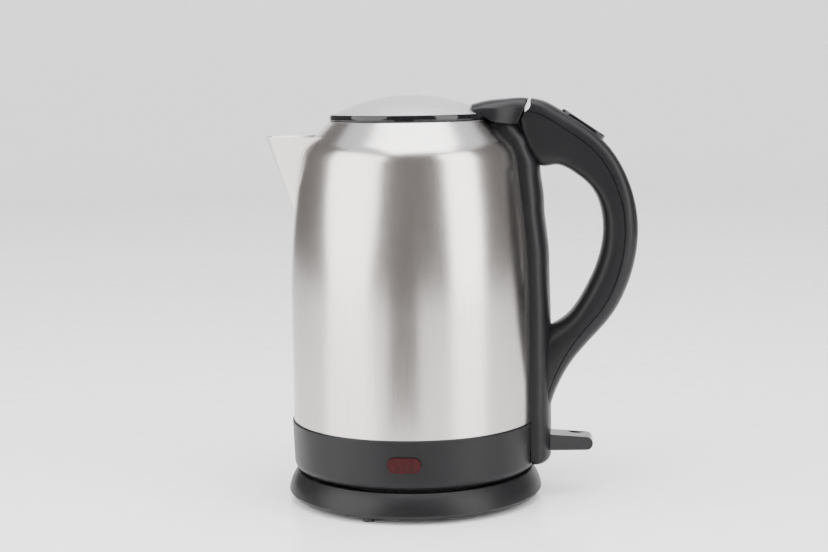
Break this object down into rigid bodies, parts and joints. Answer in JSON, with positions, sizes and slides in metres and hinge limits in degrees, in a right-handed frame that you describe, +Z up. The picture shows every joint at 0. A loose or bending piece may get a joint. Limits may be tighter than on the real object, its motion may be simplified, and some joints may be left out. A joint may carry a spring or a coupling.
{
  "type": "electric kettle",
  "caption": "Cordless brushed steel electric kettle with a black handle and collar, standing on its round power base.",
  "frame": {"origin": "on the table, at the middle of the power base's underside (face of the centre pad)", "axes": "+Z up along the kettle's axis; +X to the handle, so the spout is at -X and the indicator window at -Y"},
  "size_m": [0.2211, 0.1539, 0.2424],
  "materials": {
    "brushed_steel": "vertical brushed grain",
    "satin_steel": "fine satin",
    "inner_steel": "plain rolled",
    "black_plastic": "fine satin texture",
    "gloss_black": "polished",
    "inner_plastic": "plain moulded",
    "red_lens": "clear dark red, unlit",
    "lamp_glass": "clear",
    "rubber": "matt",
    "silicone": "translucent white",
    "brass": "plain",
    "aluminium": "plain",
    "heater_metal": "dull",
    "steel_hardware": "zinc plated"
  },
  "bodies": {
    "power_base": {"base_cover": "black_plastic", "base_bottom_plate": "inner_plastic", "base_feet": "rubber", "base_centre_pad": "rubber", "base_connector": "inner_plastic", "base_contacts": "brass", "connector_screws": "steel_hardware", "base_screws": "steel_hardware", "cord_gland": "rubber", "cord_clamp": "inner_plastic", "cord_clamp_screws": "steel_hardware"},
    "connector": {"connector_shroud": "inner_plastic", "socket_contacts": "brass"},
    "kettle": {"kettle_control": "inner_plastic", "bimetal_discs": "brass", "control_screws": "steel_hardware", "heating_plate": "inner_steel", "heat_spreader": "aluminium", "heating_element": "heater_metal", "element_terminals": "heater_metal", "bottom_cover": "inner_plastic", "bottom_screws": "steel_hardware", "skirt": "black_plastic", "indicator_lens": "red_lens", "lamp_holder": "inner_plastic", "indicator_lamp": "lamp_glass", "body_shell": "brushed_steel", "spout": "brushed_steel", "steam_grommet": "rubber", "steam_tube": "silicone", "handle_shell": "black_plastic", "handle_cover": "black_plastic", "handle_bracket_top": "inner_steel", "handle_bracket_bottom": "inner_steel", "handle_screws": "steel_hardware", "steam_switch_housing": "inner_plastic", "steam_bimetal": "brass", "switch_spring": "steel_hardware", "switch_pin": "steel_hardware", "hinge_pin": "steel_hardware", "lid_spring": "steel_hardware", "button_pin": "steel_hardware", "latch_spring": "steel_hardware"},
    "filter": {"filter_frame": "inner_plastic", "filter_mesh": "inner_steel"},
    "lid": {"lid_cap": "satin_steel", "lid_rim": "gloss_black", "lid_inner": "inner_plastic", "lid_gasket": "silicone", "lid_tail": "black_plastic", "lid_striker": "inner_steel", "lid_screws": "steel_hardware"},
    "lever": {"switch_lever": "gloss_black"},
    "button": {"lid_button": "gloss_black"},
    "latch": {"latch_slider": "inner_plastic"}
  },
  "joints": [
    {"name": "kettle_lift", "type": "slide", "parent": "power_base", "child": "connector", "axis": [0, 0, 1], "range_m": [0, 0.08]},
    {"name": "kettle_turn", "type": "hinge", "parent": "connector", "child": "kettle", "pos_m": [0, 0, 0], "axis": [0, 0, 1], "continuous": true},
    {"name": "lid_hinge", "type": "hinge", "parent": "kettle", "child": "lid", "pos_m": [0.06635, 0, 0.2366], "axis": [0, 1, 0], "range_deg": [0, 85]},
    {"name": "lever_switch", "type": "hinge", "parent": "kettle", "child": "lever", "pos_m": [0.0792, 0, 0.033], "axis": [0, 1, 0], "range_deg": [0, 12], "stiffness_Nm_per_rad": 0.05},
    {"name": "lid_button_press", "type": "hinge", "parent": "kettle", "child": "button", "pos_m": [0.09084, 0, 0.22632], "axis": [0, 1, 0], "range_deg": [0, 5], "stiffness_Nm_per_rad": 0.3},
    {"name": "latch_draw", "type": "slide", "parent": "kettle", "child": "latch", "axis": [1, 0, 0], "range_m": [0, 0.0025]},
    {"name": "filter_unclip", "type": "slide", "parent": "kettle", "child": "filter", "axis": [1, 0, 0], "range_m": [0, 0.012]}
  ],
  "couplings": [
    {"joint": "latch_draw", "follows": "lid_button_press", "m_per_rad": 0.0286}
  ]
}
